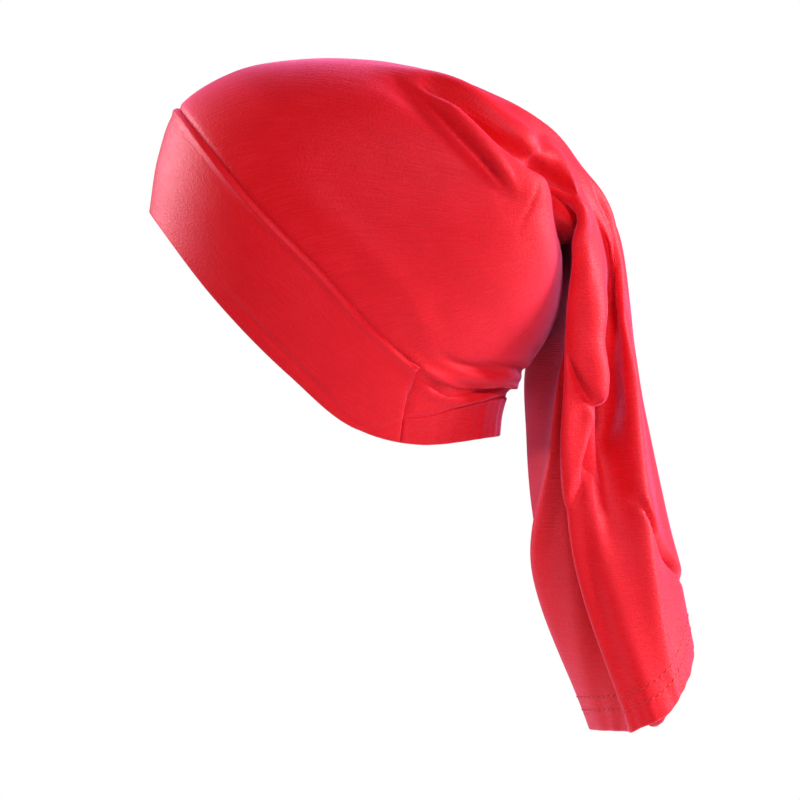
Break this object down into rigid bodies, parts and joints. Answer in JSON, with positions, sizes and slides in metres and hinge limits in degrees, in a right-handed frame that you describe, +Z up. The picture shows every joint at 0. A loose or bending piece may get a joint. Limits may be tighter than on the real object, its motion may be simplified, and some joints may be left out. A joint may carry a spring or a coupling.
{
  "type": "hijab underscarf cap",
  "caption": "Jersey under-scarf cap with a wide double front band, a hood crown, a gathered nape casing and an open tube tail hanging behind.",
  "frame": {"origin": "inner side of the top of the crown, where the top of the head carries the cap", "axes": "+Z up, the face opening looks along -Y, the tail hangs on the +Y side, the wearer's left is +X"},
  "size_m": [0.1587, 0.2507, 0.3094],
  "materials": {
    "double_jersey": "soft viscose jersey in two layers, with a faint pink sheen",
    "gathered_jersey": "soft viscose jersey turned over elastic",
    "jersey": "soft viscose jersey with fine slubs and a faint pink sheen"
  },
  "bodies": {
    "root": {"front_band": "double_jersey", "nape_band": "gathered_jersey", "crown_tube": "jersey"}
  },
  "joints": []
}
